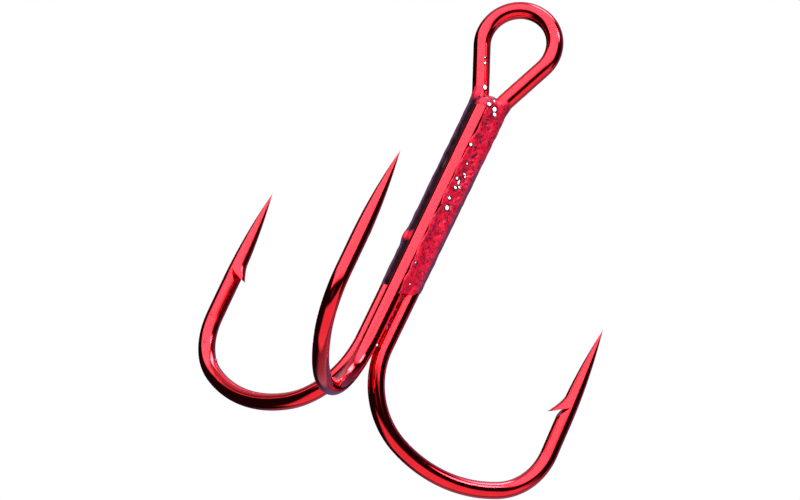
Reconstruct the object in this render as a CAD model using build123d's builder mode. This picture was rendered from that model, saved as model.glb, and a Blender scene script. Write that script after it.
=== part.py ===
"""Treble fish hook: one wire folded into an eye and two hooks, a second wire bent into the third
hook, and the braze that joins their shanks. Millimetres; the origin is the centre of the eye, +Z
runs up the shank from the bends to the eye, and the third hook points along -Y."""

from build123d import *

import os
from math import cos, radians, sin, sqrt

# ---------------------------------------------------------------- driving dimensions
wire_diameter = 1.25
wire_radius = wire_diameter / 2

# Eye: a ring of centreline radius eye_radius on two legs that close in to the neck.
eye_radius = 2.64
leg_angle = 23.3  # of each leg to the shank
neck_radius = 3.0

# Shank bundle, seen from above. The folded wire's two shanks stand side by side on the X axis.
shank_half_spacing = 0.82
third_shank_x = -0.075
braze_gap = 0.03  # capillary gap between the third shank and the left one
shank_end_z = -24.67  # the bends start here
third_shank_top_z = -5.0

# Hook: three tangent bends, (radius, degrees), round from the shank, then a straight spear whose
# end is ground to a point.
bends = ((6.0, 73.3), (10.5, 47.9), (4.75, 61.9))
spear_length = 9.9
point_length = 7.5
point_flat = 0.015  # radius left at the very tip

# How each hook differs: its direction about the shank from the third hook's, how far its last
# bend is closed, and the twist that bend has taken, all in degrees.
left_hook = {"direction": -120.6, "closing": 0.4, "twist": -4.5}
right_hook = {"direction": 128.1, "closing": 0.2, "twist": 2.7}
third_hook = {"direction": 1.4, "closing": -2.4, "twist": 0.7}

# Barb: a tongue cut from the inside of the spear and lifted. Each pair is (distance from the
# wire's centreline towards the shank, distance behind the tip of the point).
barb_root = (0.56, 5.75)
barb_tip = (1.4, 7.1)
cut_apex = (0.15, 6.3)
cut_mouth = (0.6, 7.2)

# Braze along the shanks, with one frozen drop in the left groove.
braze_top_z = -4.05
braze_bottom_z = -20.4
braze_wetting_angle = 22.0
braze_sag = 0.05
braze_end_slope = 0.55  # rise of the braze's ends per millimetre towards the back
drop_centre = Vector(-1.3, -0.38, -16.5)
drop_radius = 0.4
drop_straight = 0.7

third_shank_y = -sqrt(
    (wire_diameter + braze_gap) ** 2 - (third_shank_x + shank_half_spacing) ** 2
)
left_shank = Vector(-shank_half_spacing, 0)
right_shank = Vector(shank_half_spacing, 0)
third_shank = Vector(third_shank_x, third_shank_y)


# ---------------------------------------------------------------- spear, point and barb
def corner(inwards_and_behind):
    """A barb corner in the plane of the hook: X towards the shank, Y along the spear."""
    inwards, behind = inwards_and_behind
    return Vector(inwards, spear_length - behind)


# The plane of the hook, with its origin where the spear starts and Y along the spear (+Z).
hook_plane = Plane.XZ
root, tip, apex, mouth = (corner(at) for at in (barb_root, barb_tip, cut_apex, cut_mouth))
tongue_rise = (tip - root).normalized()
tongue_axis_point = root - Vector(-tongue_rise.Y, tongue_rise.X) * wire_radius
tongue_back = Plane(
    origin=hook_plane.from_local_coords(tongue_axis_point),
    z_dir=hook_plane.from_local_coords(tongue_rise),
)

with BuildPart() as tongue:
    # The lifted tongue keeps the wire's own round back, tilted about its root.
    with BuildSketch(hook_plane):
        with BuildLine():
            Polyline(root, tip, apex, (apex.X, root.Y), close=True)
        make_face()
    extrude(amount=wire_diameter, both=True)
    with Locations(tongue_back):
        Cylinder(wire_radius, 4 * wire_diameter, mode=Mode.INTERSECT)

with BuildPart() as spear:
    with BuildSketch(hook_plane):
        with BuildLine():
            point_start = (-wire_radius, spear_length - point_length)
            point_control = (-wire_radius, spear_length - point_length / 2)
            point_end = (-point_flat, spear_length)
            Polyline(point_end, (0, spear_length), (0, 0), (-wire_radius, 0), point_start)
            Bezier(point_start, point_control, point_end)
        make_face()
    revolve(axis=Axis.Z)
    # The slit that lifting the tongue opened, drawn on past the surface of the wire.
    with BuildSketch(hook_plane):
        with BuildLine():
            Polyline(apex, apex + (mouth - apex) * 2, tip, close=True)
        make_face()
    extrude(amount=wire_diameter, both=True, mode=Mode.SUBTRACT)
    add(tongue.part)


# ---------------------------------------------------------------- one hook, below its shank
def hook_end(shank, direction, closing, twist):
    """The bends, spear, point and barb of one hook, on the lower end of its shank wire."""
    place = shank + Vector(0, 0, shank_end_z)
    heading = Vector(0, 0, -1)
    inwards = Vector(sin(radians(direction)), -cos(radians(direction)), 0)  # to the bend's centre
    first, second, (last_radius, last_degrees) = bends
    turns = (
        (first, 0),
        (second, 0),
        ((last_radius, last_degrees + closing), twist),
    )
    with BuildPart() as hook:
        with BuildLine() as bend_line:
            for (radius, degrees), turned in turns:
                inwards = inwards.rotate(Axis(place, heading), turned)
                centre = place + inwards * radius
                axis = Axis(centre, heading.cross(inwards))
                middle = centre - inwards.rotate(axis, degrees / 2) * radius
                inwards = inwards.rotate(axis, degrees)
                heading = heading.rotate(axis, degrees)
                end = centre - inwards * radius
                ThreePointArc(place, middle, end)
                place = end
        with BuildSketch(Plane(origin=shank + Vector(0, 0, shank_end_z), z_dir=(0, 0, -1))):
            Circle(wire_radius)
        sweep(path=bend_line.line)
        with Locations(Plane(origin=place, x_dir=inwards, z_dir=heading)):
            add(spear.part)
    return hook.part


left_end = hook_end(left_shank, **left_hook)
right_end = hook_end(right_shank, **right_hook)
third_end = hook_end(third_shank, **third_hook)

# ---------------------------------------------------------------- wire with the eye and two hooks
leg_cos, leg_sin = cos(radians(leg_angle)), sin(radians(leg_angle))
leg_foot_x = shank_half_spacing + neck_radius * (1 - leg_cos)
neck_z = (leg_foot_x * leg_cos - eye_radius) / leg_sin - neck_radius * leg_sin
leg_foot = (leg_foot_x, neck_z + neck_radius * leg_sin)
leg_head = (eye_radius * leg_cos, -eye_radius * leg_sin)

with BuildPart() as double_hook_wire:
    with BuildLine(Plane.XZ) as eye_line:
        Line((shank_half_spacing, shank_end_z), (shank_half_spacing, neck_z))
        CenterArc((shank_half_spacing + neck_radius, neck_z), neck_radius, 180, -leg_angle)
        Line(leg_foot, leg_head)
        CenterArc((0, 0), eye_radius, -leg_angle, 90 + leg_angle)
        mirror(about=Plane.YZ)
    with BuildSketch(Plane(origin=(shank_half_spacing, 0, shank_end_z))):
        Circle(wire_radius)
    sweep(path=eye_line.line)
    add(left_end)
    add(right_end)

# ---------------------------------------------------------------- wire of the third hook
with BuildPart() as single_hook_wire:
    with BuildSketch(Plane(origin=third_shank + Vector(0, 0, shank_end_z))):
        Circle(wire_radius)
    extrude(amount=third_shank_top_z - shank_end_z)
    chamfer(single_hook_wire.faces().sort_by(Axis.Z)[-1].edges(), length=0.12)
    add(third_end)


# ---------------------------------------------------------------- braze
def meniscus(first, second):
    """The braze's surface in the groove between two shanks, seen from above: its two ends, where
    it wets the wires, and its middle. The groove's outer side is on the right of first-second."""
    along = (second - first).normalized()
    outwards = Vector(along.Y, -along.X)
    wet = radians(braze_wetting_angle)
    start = first + (outwards * cos(wet) + along * sin(wet)) * wire_radius
    end = second + (outwards * cos(wet) - along * sin(wet)) * wire_radius
    return start, (start + end) / 2 - outwards * braze_sag, end


def cut_end(z, above):
    """The sloping plane that ends the braze at height z, facing up or down the shank."""
    side = 1 if above else -1
    return Plane(origin=(0, 0, z), z_dir=(0, -braze_end_slope * side, side))


with BuildPart() as braze_seam:
    with BuildSketch(Plane.XY.offset(braze_bottom_z - wire_diameter)):
        with BuildLine():
            shanks = (left_shank, third_shank, right_shank)
            for first, second in zip(shanks, shanks[1:] + shanks[:1]):
                start, middle, end = meniscus(first, second)
                Line(first, start)
                ThreePointArc(start, middle, end)
                Line(end, second)
        make_face()
    extrude(amount=braze_top_z - braze_bottom_z + 2 * wire_diameter)
    split(bisect_by=cut_end(braze_top_z, above=True), keep=Keep.BOTTOM)
    split(bisect_by=cut_end(braze_bottom_z, above=False), keep=Keep.BOTTOM)
    # A drop that ran out of the left groove and froze on the wire, round at both ends.
    with Locations(drop_centre):
        Cylinder(drop_radius, drop_straight)
    with Locations(drop_centre + Vector(0, 0, drop_straight / 2)):
        Sphere(drop_radius)
    with Locations(drop_centre - Vector(0, 0, drop_straight / 2)):
        Sphere(drop_radius)
    add(double_hook_wire.part, mode=Mode.SUBTRACT)
    add(single_hook_wire.part, mode=Mode.SUBTRACT)

# ---------------------------------------------------------------- files
double_hook_wire.part.label = "double_hook_wire"
single_hook_wire.part.label = "single_hook_wire"
braze_seam.part.label = "braze_seam"

os.makedirs("parts", exist_ok=True)
export_step(double_hook_wire.part, "parts/double_hook_wire.step")
export_step(single_hook_wire.part, "parts/single_hook_wire.step")
export_step(braze_seam.part, "parts/braze_seam.step")

for node in (double_hook_wire, single_hook_wire, braze_seam):
    box = node.part.bounding_box()
    print(node.part.label, len(node.part.solids()), "solid", round(node.part.volume, 2), box)
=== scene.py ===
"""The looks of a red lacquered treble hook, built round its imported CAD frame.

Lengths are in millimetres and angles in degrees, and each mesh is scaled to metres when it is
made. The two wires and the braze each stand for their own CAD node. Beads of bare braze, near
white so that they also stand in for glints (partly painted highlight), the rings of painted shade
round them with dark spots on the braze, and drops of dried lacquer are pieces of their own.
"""

import random
from math import asin, cos, degrees, pi, radians, sin, sqrt

import bmesh
import bpy
import numpy as np
from mathutils import Matrix, Vector, noise


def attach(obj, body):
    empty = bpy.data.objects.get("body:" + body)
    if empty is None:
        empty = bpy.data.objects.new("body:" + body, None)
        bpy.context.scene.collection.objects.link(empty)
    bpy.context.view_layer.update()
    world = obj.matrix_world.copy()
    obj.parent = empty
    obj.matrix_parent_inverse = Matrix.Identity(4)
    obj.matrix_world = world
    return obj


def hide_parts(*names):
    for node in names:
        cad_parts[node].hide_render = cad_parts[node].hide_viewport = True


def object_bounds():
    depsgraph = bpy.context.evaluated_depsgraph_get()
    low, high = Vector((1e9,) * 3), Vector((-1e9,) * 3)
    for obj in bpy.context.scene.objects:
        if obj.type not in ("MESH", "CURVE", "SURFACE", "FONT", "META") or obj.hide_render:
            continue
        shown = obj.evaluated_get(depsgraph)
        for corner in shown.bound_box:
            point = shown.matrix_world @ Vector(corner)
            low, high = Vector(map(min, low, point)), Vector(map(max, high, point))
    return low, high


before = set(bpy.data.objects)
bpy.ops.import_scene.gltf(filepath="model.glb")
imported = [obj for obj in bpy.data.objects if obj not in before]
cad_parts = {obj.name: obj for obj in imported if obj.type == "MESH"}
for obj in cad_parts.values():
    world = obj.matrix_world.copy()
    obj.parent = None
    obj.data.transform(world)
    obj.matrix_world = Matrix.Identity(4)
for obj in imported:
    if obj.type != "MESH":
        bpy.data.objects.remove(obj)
cad_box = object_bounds()

MILLIMETRE = 0.001

# ---------------------------------------------------------------- driving dimensions
wire_radius = 0.625

# Eye: a ring on two legs that close in to the neck.
eye_radius = 2.64
leg_angle = 23.3
neck_radius = 3.0
leg_lean = radians(leg_angle)

# Shank bundle.
shank_half_spacing = 0.82
third_shank_x = -0.075
braze_gap = 0.03
shank_end_z = -24.67
third_shank_top_z = -5.0
third_shank_chamfer = 0.12
third_shank_y = -sqrt((2 * wire_radius + braze_gap) ** 2 - (third_shank_x + shank_half_spacing) ** 2)

# Where the legs' bends end, and where they start.
leg_foot_x = shank_half_spacing + neck_radius * (1 - cos(leg_lean))
neck_z = (leg_foot_x * cos(leg_lean) - eye_radius) / sin(leg_lean) - neck_radius * sin(leg_lean)
leg_foot_z = neck_z + neck_radius * sin(leg_lean)

# Hook: three bends as (radius, degrees), then a spear whose end is ground to a point.
bends = ((6.0, 73.3), (10.5, 47.9), (4.75, 61.9))
spear_length = 9.9
point_length = 7.5
point_flat = 0.015
left_hook = {"direction": -120.6, "closing": 0.4, "twist": -4.5}
right_hook = {"direction": 128.1, "closing": 0.2, "twist": 2.7}
third_hook = {"direction": 1.4, "closing": -2.4, "twist": 0.7}

# Barb: pairs are (inwards of the wire's centreline, behind the tip of the point).
cut_apex = (0.15, 6.3)
cut_mouth = (0.6, 7.2)
tongue_root_behind = 5.6
left_barb_tip = (1.32, 6.95)
right_barb_tip = (1.46, 7.25)
third_barb_tip = (1.4, 7.1)
tongue_curl = 1.35  # how late the tongue's back turns away from the spear
tongue_sag = 0.16  # four times how far the middle of its underside sags towards the spear
tongue_taper = 0.25  # share of its width that the tongue loses by its tip
narrowest_cut = 4.0  # half angle of a ring that the cut still takes where it is shallowest
cut_blends = (1.5, 0.6)  # over which a ring's columns even out, ahead of the cut and behind it

# Braze.
braze_top_z = -4.05
braze_bottom_z = -20.4
braze_top_slope = 0.15  # fall of the braze's top end per millimetre towards the front
braze_bottom_slope = 0.55
fill_right, fill_left, fill_rear = 1.0, 0.85, 1.0  # how far the braze reaches into each groove
fill_thread = 0.4  # of the thin thread of braze that runs on down the right groove
bundle_middle = (-0.025, -0.347)
web_top_z = braze_top_z - 0.5  # where the web in the crotch of the eye's legs starts to round off
web_radius, web_fillet = 0.24, 0.5
film_depth = 0.03  # of the braze's surface under a wire's, where it has run off
skin_rise = 0.06  # of the skin of braze that stayed on a wire, from that depth
pit_count = 110

# The drop that froze on the left wire.
drop_middle = (-1.24, -0.3)
drop_z = -16.5
drop_radius, drop_half_length, drop_fillet = 0.28, 0.62, 0.18

# How uneven the drawn and lacquered wire is.
uneven_depth = 0.007
uneven_length = 1.1

# Mesh fineness.
columns = 64  # points round a wire
cut_columns = 13  # columns each side of inwards that the barb's cut uses
ring_step = 0.14
fine_step = 0.05  # between rings close behind the barb's cut
fine_reach = 0.8
braze_cell = 0.05

camera_azimuth = 16.25
camera_elevation = -15.67
camera_roll = 25.79


# ---------------------------------------------------------------- mesh helpers
class Shell:
    """Points and faces of one mesh, gathered ring by ring."""

    def __init__(self):
        self.points = []
        self.faces = []

    def add(self, points):
        """Adds points and returns their numbers."""
        first = len(self.points)
        self.points += [Vector(p) for p in points]
        return list(range(first, len(self.points)))

    def bridge(self, ring, other):
        """Joins two closed rings that have the same number of points."""
        for i in range(len(ring)):
            j = (i + 1) % len(ring)
            self.faces.append((ring[i], ring[j], other[j], other[i]))

    def cap(self, ring, middle):
        """Closes a ring onto one middle point."""
        centre = self.add([middle])[0]
        for i in range(len(ring)):
            self.faces.append((ring[i], ring[(i + 1) % len(ring)], centre))

    def build(self, name, material, sharp_angle=None, sunk=0.0):
        """Makes the Blender object, in metres, with its faces turned outwards. Drawn and lacquered
        wire is never quite even, so sunk sinks its surface here and there by up to that much."""
        mesh = bpy.data.meshes.new(name)
        mesh.from_pydata(self.points, [], self.faces)
        shaped = bmesh.new()
        shaped.from_mesh(mesh)
        bmesh.ops.recalc_face_normals(shaped, faces=shaped.faces)
        shaped.normal_update()
        for vertex in shaped.verts:
            depth = sunk * (0.5 + 0.5 * noise.noise(vertex.co / uneven_length))
            vertex.co = (vertex.co - vertex.normal * depth) * MILLIMETRE
        shaped.to_mesh(mesh)
        shaped.free()
        mesh.polygons.foreach_set("use_smooth", [True] * len(mesh.polygons))
        if sharp_angle:
            mesh.set_sharp_from_angle(angle=radians(sharp_angle))
        mesh.materials.append(material)
        piece = bpy.data.objects.new(name, mesh)
        bpy.context.scene.collection.objects.link(piece)
        return piece


def turned(vector, axis, angle):
    """The vector turned about an axis by an angle in degrees."""
    return Matrix.Rotation(radians(angle), 3, axis) @ vector


def eased(share):
    """A smooth step from 0 to 1, of a number or an array."""
    share = np.clip(share, 0, 1)
    return share * share * (3 - 2 * share)


def smooth_step(value, low, high):
    """A smooth step from 0 at low to 1 at high."""
    return eased((value - low) / (high - low))


# ---------------------------------------------------------------- centrelines
def hook_line(shank, direction, closing, twist):
    """Stations (centre, heading, inwards) down one hook's bends, and the spear's start."""
    place = Vector((shank[0], shank[1], shank_end_z))
    heading = Vector((0, 0, -1))
    inwards = Vector((sin(radians(direction)), -cos(radians(direction)), 0))
    stations = []
    for number, (radius, angle) in enumerate(bends):
        if number == 2:
            inwards = turned(inwards, heading, twist)
            angle += closing
        centre = place + inwards * radius
        axis = heading.cross(inwards)
        steps = int(radius * radians(angle) / ring_step)
        for step in range(steps):
            part = angle * step / steps
            towards = turned(inwards, axis, part)
            stations.append((centre - towards * radius, turned(heading, axis, part), towards))
        inwards = turned(inwards, axis, angle)
        heading = turned(heading, axis, angle)
        place = centre - inwards * radius
    return stations, (place, heading, inwards)


def straight(start, end, first_across, last_across):
    """Stations along a straight wire, whose across vector turns evenly from first to last."""
    heading = (end - start).normalized()
    turn = degrees(first_across.angle(last_across))
    turn *= 1 if first_across.cross(last_across).dot(heading) > 0 else -1
    steps = max(2, int((end - start).length / ring_step))
    return [
        (start.lerp(end, k / steps), heading, turned(first_across, heading, turn * k / steps))
        for k in range(steps)
    ]


def eye_line():
    """Stations from the left shank's end, up and round the eye, and down the right shank."""
    left = Vector((-1, 0, 0))
    half = straight(
        Vector((-shank_half_spacing, 0, shank_end_z)),
        Vector((-shank_half_spacing, 0, neck_z)),
        hook_line((0, 0), **left_hook)[0][0][2],
        left,
    )
    steps = int(neck_radius * leg_lean / ring_step)
    for k in range(steps):
        part = leg_lean * k / steps
        x = -shank_half_spacing - neck_radius * (1 - cos(part))
        heading = Vector((-sin(part), 0, cos(part)))
        half.append((Vector((x, 0, neck_z + neck_radius * sin(part))), heading, turned_left(heading)))
    foot = Vector((-leg_foot_x, 0, leg_foot_z))
    head = Vector((-eye_radius * cos(leg_lean), 0, -eye_radius * sin(leg_lean)))
    outwards = turned_left((head - foot).normalized())
    half += straight(foot, head, outwards, outwards)
    steps = int(eye_radius * (leg_lean + pi / 2) / ring_step)
    for k in range(steps + 1):
        part = pi + leg_lean - (leg_lean + pi / 2) * k / steps
        radial = Vector((cos(part), 0, sin(part)))
        half.append((radial * eye_radius, Vector((sin(part), 0, -cos(part))), radial))
    mirrored = [
        (mirror_x(centre), -mirror_x(heading), mirror_x(across))
        for centre, heading, across in reversed(half[:-1])
    ]
    mirrored = retwist(mirrored, hook_line((0, 0), **right_hook)[0][0][2])
    return half + mirrored


def turned_left(heading):
    """The direction in the eye's plane that points out of the eye, for a wire going up and over."""
    return Vector((-heading.z, 0, heading.x))


def mirror_x(vector):
    """The vector seen in the plane through the eye's middle."""
    return Vector((-vector.x, vector.y, vector.z))


def retwist(stations, last_across):
    """Replaces the across vectors of the closing straight run so that it ends at last_across."""
    down = [k for k, (_, heading, _) in enumerate(stations) if heading.z < -0.99999]
    first = down[0]
    start = stations[first][0]
    end = Vector((start.x, start.y, shank_end_z))
    return stations[:first] + straight(start, end, Vector((1, 0, 0)), last_across)


# ---------------------------------------------------------------- sections of a wire
def section(centre, heading, across, radius):
    """A round ring of the wire. Its first columns lie either side of across, where a barb is cut."""
    side = heading.cross(across)
    corner = 360 * cut_columns / columns
    return [
        centre + (across * cos(radians(a)) + side * sin(radians(a))) * radius
        for a in column_angles(corner)
    ]


def column_angles(corner):
    """Angles of a ring's columns: evenly spread up to the corners of the cut, then evenly round."""
    rest = columns - 2 * cut_columns
    within = [corner * (k / cut_columns - 1) for k in range(2 * cut_columns + 1)]
    return within + [corner + (360 - 2 * corner) * k / rest for k in range(1, rest)]


def spear_radius(behind):
    """The ground point's radius, at a distance behind its tip."""
    share = min(1.0, behind / point_length)
    return max(point_flat, wire_radius * (1 - (1 - share) ** 2))


class Spear:
    """The straight end of a hook, with its barb, added to a shell from the wire's end ring on."""

    def __init__(self, shell, start, barb_tip):
        self.shell = shell
        self.place, self.heading, self.inwards = start
        self.side = self.heading.cross(self.inwards)
        self.tip = barb_tip
        self.even_corner = 360 * cut_columns / columns

    def point(self, inwards, behind, sideways):
        """A point beside the spear's centreline, at a distance behind its tip."""
        along = self.heading * (spear_length - behind)
        return self.place + along + self.inwards * inwards + self.side * sideways

    def cut_depth(self, behind):
        """How far inwards of the centreline the cut face lies."""
        share = (behind - cut_apex[1]) / (cut_mouth[1] - cut_apex[1])
        return cut_apex[0] + (cut_mouth[0] - cut_apex[0]) * share

    def corner(self, behind):
        """The half angle that the barb's cut takes of a ring."""
        if behind > cut_mouth[1]:
            blend = eased((behind - cut_mouth[1]) / cut_blends[1])
            return narrowest_cut + (self.even_corner - narrowest_cut) * blend
        if behind > cut_apex[1]:
            share = min(1.0, self.cut_depth(behind) / spear_radius(behind))
            return max(narrowest_cut, 90 - degrees(asin(share)))
        apex_corner = 90 - degrees(asin(cut_apex[0] / spear_radius(cut_apex[1])))
        blend = eased((cut_apex[1] - behind) / cut_blends[0])
        return apex_corner + (self.even_corner - apex_corner) * blend

    def lift(self, behind):
        """How far the tongue's back stands out of the spear."""
        length = self.tip[1] - tongue_root_behind
        share = min(1.0, max(0.0, (behind - tongue_root_behind) / length))
        return (self.tip[0] - wire_radius) * share**tongue_curl

    def ring(self, behind, lifted=True):
        """A whole ring, with the tongue's back lifted off it towards the apex of the cut."""
        radius = spear_radius(behind)
        corner = self.corner(behind)
        rise = self.lift(behind) if lifted and behind <= cut_apex[1] else 0.0
        points = []
        for angle in column_angles(corner):
            height = (cos(radians(angle)) - cos(radians(corner))) / (1 - cos(radians(corner)))
            x = radius * cos(radians(angle)) + rise * max(0.0, height)
            points.append(self.point(x, behind, radius * sin(radians(angle))))
        return points

    def chord(self, inwards, behind, half_width):
        """The points of a flat cut face across the spear."""
        return [
            self.point(inwards, behind, half_width * (k / cut_columns - 1))
            for k in range(2 * cut_columns + 1)
        ]

    def cut_ring(self, behind):
        """A ring behind the apex, flat on the side of the cut."""
        radius, corner = spear_radius(behind), self.corner(behind)
        half_width = radius * sin(radians(corner))
        flat = self.chord(radius * cos(radians(corner)), behind, half_width)
        return flat + self.ring(behind)[2 * cut_columns + 1 :]

    def tongue_rings(self):
        """Rings (underside, back) along the tongue, from the apex of the cut to the barb's tip."""
        steps = 14
        for k in range(1, steps):
            share = k / steps
            behind = cut_apex[1] + (self.tip[1] - cut_apex[1]) * share
            back = wire_radius + self.lift(behind)
            back -= (wire_radius - spear_radius(cut_apex[1])) * (1 - share)
            sag = tongue_sag * share * (1 - share)
            under = cut_apex[0] + (self.tip[0] - cut_apex[0]) * share - sag
            depth = cut_apex[0] + (cut_mouth[0] - cut_apex[0]) * share
            corner = 90 - degrees(asin(depth / wire_radius))
            half_width = wire_radius * sin(radians(corner)) * (1 - tongue_taper * share)
            below = self.chord(under, behind, half_width)
            above = []
            for j in range(1, 2 * cut_columns):
                angle = radians(corner * (1 - j / cut_columns))
                height = (cos(angle) - cos(radians(corner))) / (1 - cos(radians(corner)))
                sideways = half_width * sin(angle) / sin(radians(corner))
                above.append(self.point(under + (back - under) * height, behind, sideways))
            yield below + above

    def add_after(self, ring):
        """Builds the spear onto the ring of point numbers that the wire's bends end with."""
        shell, flat_end = self.shell, 2 * cut_columns + 1
        behind = spear_length - ring_step
        while behind > cut_mouth[1] + 0.02:
            ring = self.join(ring, self.ring(behind))
            behind -= ring_step if behind > cut_mouth[1] + fine_reach else fine_step
        steps = 16
        for k in range(steps):
            share = (k / steps) ** 1.5
            behind = cut_mouth[1] + (cut_apex[1] - cut_mouth[1]) * share
            ring = self.join(ring, self.cut_ring(behind))
        apex = shell.add(self.cut_ring(cut_apex[1]))
        shell.bridge(ring, apex)
        back = shell.add(self.ring(cut_apex[1])[1 : flat_end - 1])
        tongue = apex[:flat_end] + back[::-1]
        for points in self.tongue_rings():
            tongue = self.join(tongue, points)
        shell.cap(tongue, self.point(self.tip[0], self.tip[1], 0))
        ring = [apex[0], *back, *apex[flat_end - 1 :]]
        steps = 60
        for k in range(1, steps + 1):
            ring = self.join(ring, self.ring(cut_apex[1] * (1 - (k / steps) ** 0.8)))
        shell.cap(ring, self.point(0, 0, 0))

    def join(self, ring, points):
        """Adds a ring of points, joins it to the last one and returns its numbers."""
        numbers = self.shell.add(points)
        self.shell.bridge(ring, numbers)
        return numbers


def add_rings(shell, stations, ring=None, flip=False):
    """Adds a round ring at each station and joins them up. Flip is for a wire run backwards."""
    for centre, heading, across in stations:
        heading = -heading if flip else heading
        numbers = shell.add(section(centre, heading, across, wire_radius))
        if ring:
            shell.bridge(ring, numbers)
        ring = numbers
    return ring


def dress(piece, node):
    """The piece stands for a CAD node, which it hides, and rides on the hook's one body."""
    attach(piece, "root")
    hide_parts(node)


# ---------------------------------------------------------------- materials
class Graph:
    """Adds nodes to a node tree, and links them as they are named."""

    def __init__(self, tree):
        self.tree = tree

    def add(self, kind, inputs=None, **settings):
        """A new node, with its inputs fed by name or number."""
        node = self.tree.nodes.new(kind)
        for name, value in settings.items():
            setattr(node, name, value)
        for name, value in (inputs or {}).items():
            self.feed(node.inputs[name], value)
        return node

    def feed(self, socket, value):
        """Links a socket to another node's output, or sets its value."""
        if isinstance(value, bpy.types.NodeSocket):
            self.tree.links.new(value, socket)
        else:
            socket.default_value = value

    def math(self, operation, *values):
        """The result of a math node."""
        node = self.add("ShaderNodeMath", operation=operation)
        for socket, value in zip(node.inputs, values):
            self.feed(socket, value)
        return node.outputs[0]

    def product(self, first, *others):
        """All the values multiplied together."""
        for other in others:
            first = self.math("MULTIPLY", first, other)
        return first

    def place(self):
        """x, y and z over the object, in millimetres."""
        split = self.add("ShaderNodeSeparateXYZ", {0: self.add("ShaderNodeTexCoord").outputs["Object"]})
        return [self.math("DIVIDE", socket, MILLIMETRE) for socket in split.outputs]

    def noise(self, size, detail=2.0, roughness=0.5, seed=0.0):
        """Noise over the object, with features about size millimetres across."""
        place = self.add("ShaderNodeTexCoord").outputs["Object"]
        moved = self.add("ShaderNodeVectorMath", {0: place, 1: (seed, seed, seed)}, operation="ADD")
        scale = 1 / (size * MILLIMETRE)
        values = {"Vector": moved.outputs[0], "Scale": scale, "Detail": detail, "Roughness": roughness}
        return self.add("ShaderNodeTexNoise", values).outputs["Fac"]

    def remap(self, value, low, high, to_low=0.0, to_high=1.0):
        """A smooth step from to_low, where the value is low, to to_high, where it is high."""
        values = {0: value, 1: low, 2: high, 3: to_low, 4: to_high}
        return self.add("ShaderNodeMapRange", values, interpolation_type="SMOOTHSTEP").outputs[0]

    def mix(self, share, first, second):
        """A colour that share of the way from the first to the second."""
        values = {0: share, 6: first, 7: second}
        return self.add("ShaderNodeMix", values, data_type="RGBA").outputs[2]


def new_material(name):
    """A material with the graph of its nodes, and its shader."""
    material = bpy.data.materials.new(name)
    material.use_nodes = True
    graph = Graph(material.node_tree)
    return material, graph, material.node_tree.nodes["Principled BSDF"]


deep_red = (0.80, 0.002, 0.012, 1)
bright_red = (0.95, 0.005, 0.020, 1)
dark_plum = (0.14, 0.004, 0.03, 1)
satin_red = (0.40, 0.004, 0.020, 1)
satin_light = (0.62, 0.007, 0.035, 1)
# Greyish plum of the painted sheen down the braze's flanks.
painted_sheen_plum = (0.065, 0.022, 0.055, 1)
# Nearly black: painted shade in the left groove and round the beads, and the dark spots.
shade_and_spot_black = (0.012, 0.001, 0.004, 1)
# Near white of bare braze, which also stands in for glints: partly painted highlight.
bare_metal_glint_white = (0.97, 0.95, 0.95, 1)


def lacquer(name):
    """Clear red lacquer over bright plated wire: a tinted metal under a thin glossy coat."""
    material, graph, shader = new_material(name)
    cloud = graph.noise(1.6, detail=3)
    speckle = graph.noise(0.16, detail=2, seed=0.3)
    tone = graph.math("ADD", graph.remap(cloud, 0.3, 0.7, 0, 0.7), graph.remap(speckle, 0.3, 0.7, 0, 0.3))
    graph.feed(shader.inputs["Base Color"], graph.mix(tone, deep_red, bright_red))
    graph.feed(shader.inputs["Roughness"], graph.remap(graph.noise(0.5, seed=0.7), 0.3, 0.7, 0.05, 0.1))
    shader.inputs["Metallic"].default_value = 1.0
    shader.inputs["Coat Weight"].default_value = 0.5
    shader.inputs["Coat Roughness"].default_value = 0.03
    ripple = graph.noise(0.35, detail=2, seed=0.1)
    bump = graph.add("ShaderNodeBump", {"Strength": 0.015, "Distance": 0.00002, "Height": ripple})
    graph.feed(shader.inputs["Normal"], bump.outputs[0])
    return material


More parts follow.
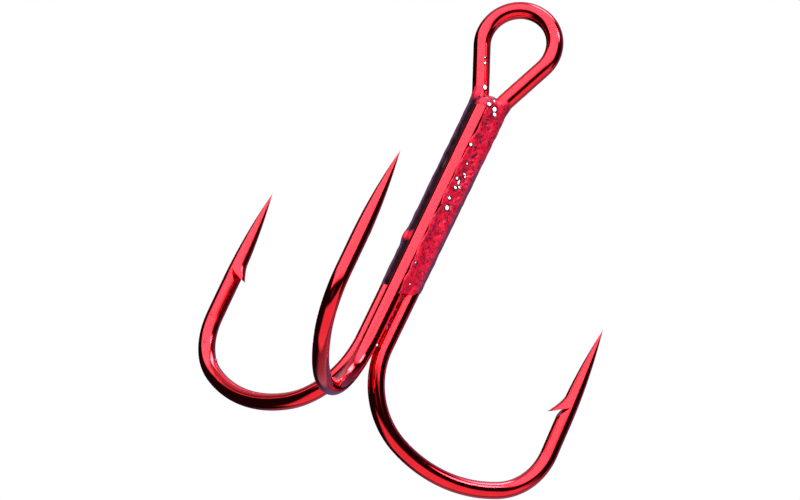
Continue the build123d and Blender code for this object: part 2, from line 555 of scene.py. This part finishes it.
def brazed_lacquer(name):
    """Satin lacquer over rough braze: blotched with dark spots, with a painted sheen of greyish plum
    down both flanks, and painted shade, nearly black, where the left groove meets the third shank."""
    material, graph, shader = new_material(name)
    cloud = graph.noise(0.55, detail=3, roughness=0.6)
    colour = graph.mix(graph.remap(cloud, 0.35, 0.65), satin_red, satin_light)
    spots = graph.remap(graph.noise(0.3, detail=2, seed=0.2), 0.54, 0.62, 0, 0.85)
    colour = graph.mix(spots, colour, dark_plum)

    # Angle about the bundle's middle, as in bundle_angle.
    x, y, z = graph.place()
    across = graph.math("SUBTRACT", x, bundle_middle[0])
    forward = graph.math("SUBTRACT", bundle_middle[1], y)
    angle = graph.product(graph.math("ARCTAN2", across, forward), 180 / pi)
    left_of_rear = graph.remap(angle, -140, -125)
    right_of_rear = graph.remap(angle, 160, 140)

    # Painted shade: nearly black down the left groove where it meets the third shank, below the neck and
    # clear of the drop.
    in_groove = graph.remap(angle, -26, -34)
    below_neck = graph.remap(z, third_shank_top_z + 0.1, third_shank_top_z - 0.4)
    from_drop = graph.math("ABSOLUTE", graph.math("SUBTRACT", z, drop_z))
    groove = graph.product(in_groove, left_of_rear, below_neck, graph.remap(from_drop, 0.2, 0.5))
    colour = graph.mix(groove, colour, shade_and_spot_black)

    # Painted sheen: the dull greyish plum that both flanks show where they turn away, laid on by angle
    # about the bundle, on the right only low down. edge is its mask.
    left_flank = graph.product(graph.remap(angle, -70, -86), left_of_rear, groove)
    left_sheen_rim = graph.product(graph.remap(angle, -85, -92, 0, 0.92), left_of_rear)
    left = graph.math("MAXIMUM", left_flank, left_sheen_rim)
    lower_part = graph.remap(z, -8.0, -11.0, 0.2, 1)
    right_sheen_flank = graph.product(graph.remap(angle, 80, 95, 0, 0.95), lower_part)
    right_sheen_rim = graph.remap(angle, 97, 104, 0, 0.92)
    right = graph.product(graph.math("MAXIMUM", right_sheen_flank, right_sheen_rim), right_of_rear)
    edge = graph.math("MAXIMUM", left, right)
    colour = graph.mix(edge, colour, painted_sheen_plum)
    thread = graph.remap(z, braze_bottom_z - 0.2, braze_bottom_z - 1.0, 0, 0.75)
    graph.feed(shader.inputs["Base Color"], graph.mix(thread, colour, dark_plum))

    graph.feed(shader.inputs["Metallic"], graph.remap(edge, 0, 1, 0.35, 0.1))
    graph.feed(shader.inputs["Roughness"], graph.remap(cloud, 0.3, 0.7, 0.3, 0.42))
    shader.inputs["Specular IOR Level"].default_value = 0.25
    shader.inputs["Coat Weight"].default_value = 0.08
    shader.inputs["Coat Roughness"].default_value = 0.1
    ripple = graph.noise(0.18, detail=2, seed=0.5)
    bump = graph.add("ShaderNodeBump", {"Strength": 0.12, "Distance": 0.00003, "Height": ripple})
    graph.feed(shader.inputs["Normal"], bump.outputs[0])
    return material


def bare_braze_glint(name):
    """Bare braze, grainy and near white, so that it also stands in for glints: partly painted highlight.
    """
    material, graph, shader = new_material(name)
    tarnish = graph.remap(graph.noise(0.1, detail=3), 0.45, 0.75)
    colour = graph.mix(tarnish, bare_metal_glint_white, (0.85, 0.55, 0.6, 1))
    graph.feed(shader.inputs["Base Color"], colour)
    graph.feed(shader.inputs["Roughness"], graph.remap(tarnish, 0, 1, 0.4, 0.55))
    shader.inputs["Metallic"].default_value = 0.3
    return material


def bead_shade_and_dark_spots(name):
    """Nearly black: painted shade in a ring round each bead, and dark spots on the braze."""
    material, graph, shader = new_material(name)
    shade = graph.remap(graph.noise(0.12, detail=3), 0.35, 0.7)
    graph.feed(shader.inputs["Base Color"], graph.mix(shade, shade_and_spot_black, (0.10, 0.003, 0.02, 1)))
    graph.feed(shader.inputs["Roughness"], graph.remap(shade, 0, 1, 0.12, 0.3))
    shader.inputs["Metallic"].default_value = 0.4
    return material


def paper(name):
    """Matt pale floor, which shows from above only."""
    material, graph, shader = new_material(name)
    grain = graph.noise(4, detail=4)
    graph.feed(
        shader.inputs["Base Color"],
        graph.mix(grain, (0.86, 0.86, 0.86, 1), (0.9, 0.9, 0.895, 1)),
    )
    shader.inputs["Roughness"].default_value = 0.9
    output = material.node_tree.nodes["Material Output"]
    behind = graph.add("ShaderNodeNewGeometry").outputs["Backfacing"]
    clear = graph.add("ShaderNodeBsdfTransparent").outputs[0]
    both = graph.add("ShaderNodeMixShader", {0: behind, 1: shader.outputs[0], 2: clear})
    graph.feed(output.inputs["Surface"], both.outputs[0])
    return material


wire_lacquer = lacquer("wire_lacquer")
braze_lacquer = brazed_lacquer("braze_lacquer")
bead_metal_glint = bare_braze_glint("bare_braze_glint")
shade_and_spot_material = bead_shade_and_dark_spots("bead_shade_and_dark_spots")


# ---------------------------------------------------------------- the wires
def reversed_spear(shell, start, barb_tip):
    """A spear for the hook that the wire starts with: its rings run the other way round."""
    spear = Spear(shell, start, barb_tip)
    spear.side = -spear.side
    return spear


def double_hook_wire():
    """One wire: the left hook, up its shank, round the eye, down the right shank and hook."""
    shell = Shell()
    left_line, left_start = hook_line((-shank_half_spacing, 0), **left_hook)
    right_line, right_start = hook_line((shank_half_spacing, 0), **right_hook)
    first = shell.add(section(left_start[0], -left_start[1], left_start[2], wire_radius))
    ring = add_rings(shell, left_line[:0:-1], ring=first, flip=True)
    ring = add_rings(shell, eye_line(), ring=ring)
    ring = add_rings(shell, right_line, ring=ring)
    last = shell.add(section(*right_start, wire_radius))
    shell.bridge(ring, last)
    reversed_spear(shell, left_start, left_barb_tip).add_after(first)
    Spear(shell, right_start, right_barb_tip).add_after(last)
    piece = shell.build("double_hook_wire_lacquered", wire_lacquer, 40, uneven_depth)
    dress(piece, "double_hook_wire")


def single_hook_wire():
    """The wire of the third hook. Its upper end is cropped, and lies in the braze."""
    shell = Shell()
    shank = (third_shank_x, third_shank_y)
    line, start = hook_line(shank, **third_hook)
    across = line[0][2]
    top = Vector((*shank, third_shank_top_z))
    down = Vector((0, 0, -1))
    end = shell.add(section(top, down, across, wire_radius - third_shank_chamfer))
    shell.cap(end, top)
    below = top + down * third_shank_chamfer
    rim = shell.add(section(below, down, across, wire_radius))
    shell.bridge(end, rim)
    shank_end = Vector((*shank, shank_end_z))
    ring = add_rings(shell, straight(below, shank_end, across, across)[1:], ring=rim)
    ring = add_rings(shell, line, ring=ring)
    last = shell.add(section(*start, wire_radius))
    shell.bridge(ring, last)
    Spear(shell, start, third_barb_tip).add_after(last)
    piece = shell.build("single_hook_wire_lacquered", wire_lacquer, 40, uneven_depth)
    dress(piece, "single_hook_wire")


double_hook_wire()
single_hook_wire()


# ---------------------------------------------------------------- the braze
def leg_x(z):
    """Distance of the folded wire's centreline from the shank's axis, on up its legs."""
    risen = np.clip((z - neck_z) / neck_radius, 0, sin(leg_lean))
    leg_part = np.maximum(z - leg_foot_z, 0) * sin(leg_lean) / cos(leg_lean)
    return shank_half_spacing + neck_radius * (1 - np.sqrt(1 - risen**2)) + leg_part


def waves(x, y, z, length, seed, count=14):
    """Smooth lumpiness, mostly between -1 and 1, from plane waves in random directions."""
    draw = random.Random(seed)
    total = 0
    for _ in range(count):
        direction = Vector((draw.gauss(0, 1), draw.gauss(0, 1), draw.gauss(0, 1))).normalized()
        kx, ky, kz = direction * (2 * pi / (length * draw.uniform(0.7, 1.5)))
        total = total + np.sin(kx * x + ky * y + kz * z + draw.uniform(0, 2 * pi))
    return total / sqrt(count)


def joined(first, second, reach):
    """The smooth union of two distances, filled by a fillet of that reach."""
    overlap = np.maximum(reach - np.abs(first - second), 0)
    return np.minimum(first, second) - overlap**2 / (4 * np.maximum(reach, 1e-6))


def braze_grid():
    """The grid's lowest corner, and its x, y and z, ready to be combined."""
    low = np.array([-1.85, -1.95, shank_end_z])
    high = np.array([1.85, 1.0, braze_top_z + 0.6])
    count = ((high - low) / braze_cell).astype(int) + 1
    x, y, z = (low[k] + braze_cell * np.arange(count[k]) for k in range(3))
    return low, x[:, None, None], y[None, :, None], z[None, None, :]


def bundle_angle(x, y):
    """Angle about the bundle's middle, in degrees from the third shank's side towards the right."""
    return np.degrees(np.arctan2(x - bundle_middle[0], bundle_middle[1] - y))


def braze_field(x, y, z):
    """Below zero inside the braze. Where it has run off a wire it lies just under its surface."""
    left = np.hypot(x + leg_x(z), y) - wire_radius
    right = np.hypot(x - leg_x(z), y) - wire_radius
    round_third = np.hypot(x - third_shank_x, y - third_shank_y) - wire_radius
    rounding = 0.3  # of the braze over the third shank's cropped end
    out, above = round_third + rounding, z - third_shank_top_z - 0.05 + rounding
    third = np.hypot(np.maximum(out, 0), np.maximum(above, 0)) - rounding
    third = third + np.minimum(np.maximum(out, above), 0)

    ragged = 0.22 * waves(x, y, z, 1.3, seed=3)
    top_end = braze_top_z + braze_top_slope * y - z + ragged
    bottom_end = z - braze_bottom_z - braze_bottom_slope * y + ragged
    kept = smooth_step(top_end, -0.1, 0.35) * smooth_step(bottom_end, -0.1, 0.35)
    level = kept * (1 + 0.06 * waves(x, y, z, 2.2, seed=4))
    thread = fill_thread * smooth_step(z, -24.4, -23.4) * (1 + 0.2 * waves(x, y, z, 0.7, seed=5))
    in_right = joined(third, right, np.maximum(fill_right * level, thread))
    in_left = joined(left, third, fill_left * level)
    in_rear = joined(left, right, fill_rear * level)
    field = np.minimum(np.minimum(in_right, in_left), in_rear)

    # A web closes the crotch of the eye's legs.
    web = np.sqrt(x**2 + y**2 + np.maximum(z - web_top_z, 0) ** 2) - web_radius
    field = joined(field, web, web_fillet)

    # A skin of braze over the right wire, the near side of the third and the left wire's flank.
    angle = bundle_angle(x, y) + 3.5 * waves(x, y, z, 1.2, seed=6)
    skin = smooth_step(angle, 12, 24) * smooth_step(angle, 128, 112)
    crown = smooth_step(z, -6.1, -5.3) * smooth_step(angle, -60, -30) * smooth_step(angle, 112, 92)
    left_flank = smooth_step(angle, -128, -114) * smooth_step(angle, -40, -54)
    skin = np.maximum(skin, np.maximum(crown, left_flank))
    skin = skin * smooth_step(top_end, 0.0, 0.6) * smooth_step(bottom_end, 0.0, 0.5)
    lumps = 0.012 * waves(x, y, z, 1.1, seed=7) + 0.004 * waves(x, y, z, 0.4, seed=8)
    return field + film_depth - skin * (skin_rise + lumps)


def surface_point(field, low, angle, z):
    """Where a ray from the bundle's middle, at that angle and height, leaves the field."""
    across, forward = sin(radians(angle)), -cos(radians(angle))
    # The field is empty at its edge, so a point below it is placed as if it were just inside.
    k = max(1, int(round((z - low[2]) / braze_cell)))
    reach = 1.7
    while reach > 0.2:
        x, y = bundle_middle[0] + across * reach, bundle_middle[1] + forward * reach
        i, j = int(round((x - low[0]) / braze_cell)), int(round((y - low[1]) / braze_cell))
        if field[i, j, k] < 0:
            break
        reach -= braze_cell / 4
    return np.array([x, y, z])


def press(field, low, grid, centre, size, depth):
    """Adds a round bump (depth above zero) or a pit to the field."""
    reach = 3 * size
    around = []
    for k in range(3):
        first = max(0, int((centre[k] - reach - low[k]) / braze_cell))
        last = int((centre[k] + reach - low[k]) / braze_cell) + 2
        around.append(slice(first, last))
    x, y, z = grid
    x, y, z = x[around[0]], y[:, around[1]], z[:, :, around[2]]
    squared = (x - centre[0]) ** 2 + (y - centre[1]) ** 2 + (z - centre[2]) ** 2
    field[tuple(around)] -= depth * np.exp(-squared / (2 * size**2))


def roughen(field, low, grid):
    """Bumps and pits where the braze boiled, most of them in the upper half of the right groove."""
    draw = random.Random(21)
    for _ in range(pit_count):
        angle = draw.triangular(18, 100, 58)
        z = draw.triangular(braze_bottom_z + 0.6, braze_top_z - 0.6, -9.5)
        centre = surface_point(field, low, angle, z)
        size = draw.uniform(0.05, 0.11)
        depth = draw.choice((-1, -1, 1)) * draw.uniform(0.012, 0.045)
        press(field, low, grid, centre, size, depth)


def add_drop(field, x, y, z):
    """The drop that froze on the left wire beside the groove, drawn out along the wire."""
    length = np.abs(z - drop_z) / drop_half_length
    spread = np.hypot(x - drop_middle[0], y - drop_middle[1]) / drop_radius
    drop = (np.sqrt(spread**2 + length**2) - 1) * drop_radius
    return joined(field, drop, drop_fillet)


def surface_net(field, low):
    """Points and quads of the field's zero surface, one point in each cell that it passes."""
    cells = tuple(n - 1 for n in field.shape)
    total = np.zeros((*cells, 3))
    count = np.zeros(cells)
    crossings = []
    for axis in range(3):
        near = np.take(field, range(field.shape[axis] - 1), axis)
        far = np.take(field, range(1, field.shape[axis]), axis)
        crossing = (near < 0) != (far < 0)
        share = np.where(crossing, near / np.where(crossing, near - far, 1), 0)
        crossings.append(crossing)
        first, second = (k for k in range(3) if k != axis)
        for u in (0, 1):
            for v in (0, 1):
                part = [slice(None)] * 3
                part[first] = slice(u, u + cells[first])
                part[second] = slice(v, v + cells[second])
                hit = crossing[tuple(part)]
                total[..., axis] += share[tuple(part)]
                total[..., first] += u * hit
                total[..., second] += v * hit
                count += hit
    used = count > 0
    number = np.full(cells, -1)
    number[used] = np.arange(used.sum())
    index = np.argwhere(used)
    points = low + braze_cell * (index + total[used] / count[used][:, None])
    faces = []
    for axis, crossing in enumerate(crossings):
        first, second = (k for k in range(3) if k != axis)
        at = np.argwhere(crossing)
        at = at[(at[:, first] > 0) & (at[:, second] > 0)]
        at = at[(at[:, first] < cells[first]) & (at[:, second] < cells[second])]
        corners = []
        for u, v in ((1, 1), (0, 1), (0, 0), (1, 0)):
            cell = at.copy()
            cell[:, first] -= u
            cell[:, second] -= v
            corners.append(number[cell[:, 0], cell[:, 1], cell[:, 2]])
        faces += np.stack(corners, 1).tolist()
    return points, faces


# ---------------------------------------------------------------- beads, spots and drops
# Beads of bare braze, near white so that they also stand in for glints: (angle about the bundle,
# height, half width, half length up the shank).
beads = (
    (20, -5.42, 0.17, 0.13), (50, -5.50, 0.20, 0.19), (62, -5.80, 0.21, 0.15),
    (36, -4.95, 0.09, 0.08), (24, -8.72, 0.11, 0.12), (46, -10.05, 0.08, 0.08),
    (57, -10.80, 0.15, 0.08), (64, -10.95, 0.09, 0.09), (33, -11.40, 0.10, 0.10),
    (50, -11.55, 0.11, 0.21), (60, -11.85, 0.17, 0.08), (44, -12.05, 0.14, 0.10),
    (40, -12.95, 0.12, 0.12), (50, -13.65, 0.19, 0.18), (30, -18.40, 0.06, 0.07),
    (51, -19.95, 0.07, 0.07), (36, -25.10, 0.11, 0.11),
)

# Dark spots without a bead, given in the same way. Many more are random.
dark_spots = (
    (-24, -5.10, 0.10, 0.05), (-8, -5.00, 0.12, 0.04), (84, -5.05, 0.10, 0.08),
    (90, -5.35, 0.07, 0.07), (36, -6.75, 0.09, 0.05), (45, -7.00, 0.05, 0.09),
    (37, -7.40, 0.09, 0.05), (46, -7.75, 0.07, 0.07), (38, -8.10, 0.09, 0.05),
    (48, -8.90, 0.05, 0.13), (54, -9.35, 0.05, 0.10), (41, -9.50, 0.08, 0.05),
    (60, -10.45, 0.06, 0.08), (70, -11.30, 0.06, 0.09), (30, -14.10, 0.05, 0.09),
)

spot_count = 46

# Drops of lacquer on the bends: (distance down from the shank's end, angle from inwards, size).
left_drops = (
    (19.0, -66, 0.09), (18.1, -36, 0.10), (17.3, 10, 0.12), (16.6, -14, 0.10),
    (16.2, -30, 0.07), (13.3, -52, 0.08), (10.9, -58, 0.08), (25.7, -66, 0.07),
)
third_drops = ((13.9, -138, 0.09),)
right_drops = ((15.5, 58, 0.10), (8.2, 40, 0.06))

# Bare braze, near white as the beads are, that spat onto the eye's left leg: (distance up the wire
# from the left shank's lower end, angle round it, size).
eye_spatter = ((20.3, 127, 0.15), (22.2, 122, 0.09), (22.65, 121, 0.06))
spatter_length, spatter_shade_length = 1.3, 1.6  # for each unit of its size

# The ring of painted shade round a bead.
shade_ring_growth, shade_ring_margin, shade_ring_rise = 1.25, 0.05, 0.22


def add_bead(shell, centre, along, outwards, size, length, rise=0.6):
    """A low bead on a surface. Size is its half width, length its half length, and rise its height
    as a share of its size."""
    around, rows = 18, 9
    side = outwards.cross(along).normalized()
    along = side.cross(outwards)
    bottom = shell.add([centre - outwards * size * rise])[0]
    ring = None
    for row in range(1, rows):
        lean = pi * row / rows
        out, height = sin(lean), -cos(lean) * rise
        points = []
        for k in range(around):
            turn = 2 * pi * k / around
            flat = along * (cos(turn) * out * length) + side * (sin(turn) * out * size)
            point = centre + flat + outwards * (height * size)
            points.append(point + outwards * (0.2 * rise * size * noise.noise(point / (0.9 * size))))
        numbers = shell.add(points)
        if ring:
            shell.bridge(ring, numbers)
        else:
            for k in range(around):
                shell.faces.append((bottom, numbers[(k + 1) % around], numbers[k]))
        ring = numbers
    shell.cap(ring, centre + outwards * size * rise)


def add_ringed_bead(metal_glints, shade_and_spots, place, size, length, shade_ring_length):
    """A bead of bare braze in a low ring of painted shade. Place is its (centre, along, outwards)."""
    add_bead(metal_glints, *place, size, length)
    shade_ring = (size * shade_ring_growth + shade_ring_margin, shade_ring_length + shade_ring_margin)
    add_bead(shade_and_spots, *place, *shade_ring, shade_ring_rise)


def on_braze(field, low, angle, height):
    """Where a bead sits on the braze, with the ways up the shank and out of it."""
    centre = Vector(surface_point(field, low, angle, height))
    return centre, Vector((0, 0, 1)), Vector((sin(radians(angle)), -cos(radians(angle)), 0))


def on_wire(stations, distance, angle, size):
    """Where a bead of that size sits on a wire, with the wire's heading and the way out of it."""
    number = min(int(distance / ring_step), len(stations) - 1)
    centre, heading, across = stations[number]
    outwards = turned(across, heading, angle)
    return centre + outwards * (wire_radius - 0.15 * size), heading, outwards


def braze_seam():
    """The braze, with its drop. Returns its field and the field's lowest corner."""
    low, x, y, z = braze_grid()
    field = add_drop(braze_field(x, y, z), x, y, z)
    roughen(field, low, (x, y, z))
    edge = np.ones(field.shape, bool)
    edge[1:-1, 1:-1, 1:-1] = False
    field[edge] = 1.0
    shell = Shell()
    points, shell.faces = surface_net(field, low)
    shell.points = [Vector(p) for p in points]
    piece = shell.build("braze_seam_lacquered", braze_lacquer)
    dress(piece, "braze_seam")
    return field, low


def random_spots():
    """Small spots all over the right groove, as in dark_spots."""
    draw = random.Random(5)
    spots = []
    for _ in range(spot_count):
        angle = draw.uniform(22, 84)
        height = draw.uniform(braze_bottom_z + 0.8, braze_top_z - 1.6)
        spots.append((angle, height, draw.uniform(0.03, 0.08), draw.uniform(0.04, 0.14)))
    return spots


def beads_with_shade_and_spots(field, low):
    """Beads of bare braze on the seam and the eye, rings of painted shade round them, and dark spots."""
    metal_glints, shade_and_spots = Shell(), Shell()
    for angle, height, size, length in beads:
        place = on_braze(field, low, angle, height)
        add_ringed_bead(metal_glints, shade_and_spots, place, size, length, length * shade_ring_growth)
    for distance, angle, size in eye_spatter:
        place = on_wire(eye_line(), distance, angle, size)
        lengths = (size * spatter_length, size * spatter_shade_length)
        add_ringed_bead(metal_glints, shade_and_spots, place, size, *lengths)
    for angle, height, size, length in (*dark_spots, *random_spots()):
        add_bead(shade_and_spots, *on_braze(field, low, angle, height), size, length, 0.5)
    pieces = ((metal_glints, "bare_braze_beads", bead_metal_glint), (shade_and_spots, "bead_shade_and_dark_spots", shade_and_spot_material))
    for shell, name, material in pieces:
        piece = shell.build(name, material)
        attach(piece, "root")


def lacquer_drops():
    """Small drops of lacquer that dried on the bends."""
    shell = Shell()
    lines = (
        (hook_line((-shank_half_spacing, 0), **left_hook)[0], left_drops),
        (hook_line((third_shank_x, third_shank_y), **third_hook)[0], third_drops),
        (hook_line((shank_half_spacing, 0), **right_hook)[0], right_drops),
    )
    for stations, drops in lines:
        for distance, angle, size in drops:
            add_bead(shell, *on_wire(stations, distance, angle, size), size, size * 1.5)
    piece = shell.build("lacquer_drops", wire_lacquer)
    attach(piece, "root")


beads_with_shade_and_spots(*braze_seam())
lacquer_drops()


# ---------------------------------------------------------------- camera and light
def camera_axes():
    """The camera's right, up and back directions."""
    a, e, r = (radians(x) for x in (camera_azimuth, camera_elevation, camera_roll))
    level_right = Vector((cos(a), sin(a), 0))
    level_up = Vector((-sin(a) * sin(e), cos(a) * sin(e), cos(e)))
    right = level_right * cos(r) + level_up * sin(r)
    up = level_up * cos(r) - level_right * sin(r)
    return right, up, Vector((sin(a) * cos(e), -cos(a) * cos(e), sin(e)))


def add_camera():
    """A long lens, so that the hook's near and far sides show at nearly the same scale."""
    right, up, back = camera_axes()
    lens, sensor, frame_width = 1000.0, 36.0, 57.389
    below_shanks = Vector((0, -0.48, -27.6))
    aim = below_shanks + right * 3.11 + up * 8.99
    nearer = 4  # than where the frame is just frame_width wide at the aim
    eye = aim + back * (lens * frame_width / sensor - nearer)
    camera = bpy.data.objects.new("camera", bpy.data.cameras.new("camera"))
    camera.data.lens = lens
    camera.data.sensor_width = sensor
    camera.data.clip_start = 0.1
    camera.data.clip_end = 10
    turn = Matrix((right, up, back)).transposed().to_4x4()
    camera.matrix_world = Matrix.Translation(eye * MILLIMETRE) @ turn
    bpy.context.scene.collection.objects.link(camera)
    bpy.context.scene.camera = camera


def add_studio():
    """A dark room with a white backdrop, a large soft box above the camera, a dimmer one below it
    and other panels round them. They all stay where they are when the camera moves."""
    right, up, back = camera_axes()
    world = bpy.data.worlds.new("studio")
    bpy.context.scene.world = world
    world.use_nodes = True
    world.node_tree.nodes.clear()
    graph = Graph(world.node_tree)
    direction = graph.add("ShaderNodeTexCoord").outputs["Generated"]

    def along(axis):
        """How far the direction leans along an axis."""
        values = {0: direction, 1: tuple(axis)}
        return graph.add("ShaderNodeVectorMath", values, operation="DOT_PRODUCT").outputs["Value"]

    to_degrees = 180 / pi
    across = graph.product(graph.math("ARCSINE", along(right)), to_degrees)
    height = graph.product(graph.math("ARCTAN2", along(up), along(back)), to_degrees)

    def soft_box(sides, heights, light, blurs=(6, 6, 6, 6), tilt=0.0):
        """A lit panel between two angles across and two of height, with blurred edges. Height is
        0 towards the camera, 90 up the picture and 180 behind the hook."""
        level = graph.math("ADD", height, graph.product(across, tilt))
        edges = (
            graph.remap(across, sides[0] - blurs[0], sides[0] + blurs[0]),
            graph.remap(across, sides[1] + blurs[1], sides[1] - blurs[1]),
            graph.remap(level, heights[0] - blurs[2], heights[0] + blurs[2]),
            graph.remap(level, heights[1] + blurs[3], heights[1] - blurs[3]),
        )
        values = {0: light, "Scale": graph.product(*edges)}
        return graph.add("ShaderNodeVectorMath", values, operation="SCALE").outputs[0]

    dusk = (0.15, 0.12, 0.26)
    # The box above, the one below, one under and one over the hook, two small bright strips high up,
    # a faint patch beside the camera, and two dusky panels behind the hook.
    panels = (
        soft_box((-52, 41), (19, 90), (3.8, 3.8, 3.8), (6, 6, 9, 6), tilt=0.2),
        soft_box((-42, 62), (-94, -23), (0.95, 0.95, 0.98), (9, 6, 6, 6)),
        soft_box((-20, 62), (-140, -94), (0.34, 0.34, 0.38), (12, 8, 6, 14)),
        soft_box((-36, 30), (90, 150), (0.5, 0.45, 0.55), (14, 14, 6, 16)),
        soft_box((6, 34), (97, 114), (14, 14, 14), (5, 8, 4, 5)),
        soft_box((40, 56), (58, 78), (20, 20, 20), (4, 4, 5, 5)),
        soft_box((-24, -6), (-9, 7), (0.13, 0.1, 0.2), (4, 4, 4, 4)),
        soft_box((-6, 70), (112, 200), dusk, (16, 12, 12, 12)),
        soft_box((-6, 70), (-200, -126), dusk, (16, 12, 12, 12)),
    )
    light = (0.012, 0.01, 0.014)  # of the room itself
    for panel in panels:
        light = graph.add("ShaderNodeVectorMath", {0: panel, 1: light}, operation="ADD").outputs[0]
    seen = graph.add("ShaderNodeLightPath").outputs["Is Camera Ray"]
    colour = graph.mix(seen, light, (1, 1, 1, 1))
    shader = graph.add("ShaderNodeBackground", {"Color": colour, "Strength": 1.0})
    output = graph.add("ShaderNodeOutputWorld")
    graph.feed(output.inputs["Surface"], shader.outputs[0])


def add_floor():
    """A round pale floor at the lowest point of the hook."""
    shell = Shell()
    reach, sides = 600.0, 96
    level = cad_box[0].z / MILLIMETRE
    angles = [2 * pi * k / sides for k in range(sides)]
    rim = shell.add([(reach * cos(a), reach * sin(a), level) for a in angles])
    shell.cap(rim, (0, 0, level))
    floor = shell.build("floor", paper("paper"))
    if floor.data.polygons[0].normal.z < 0:
        floor.data.flip_normals()
    floor.visible_shadow = False
    floor.visible_glossy = False


add_camera()
add_studio()
add_floor()
bpy.context.scene.view_settings.view_transform = "Standard"
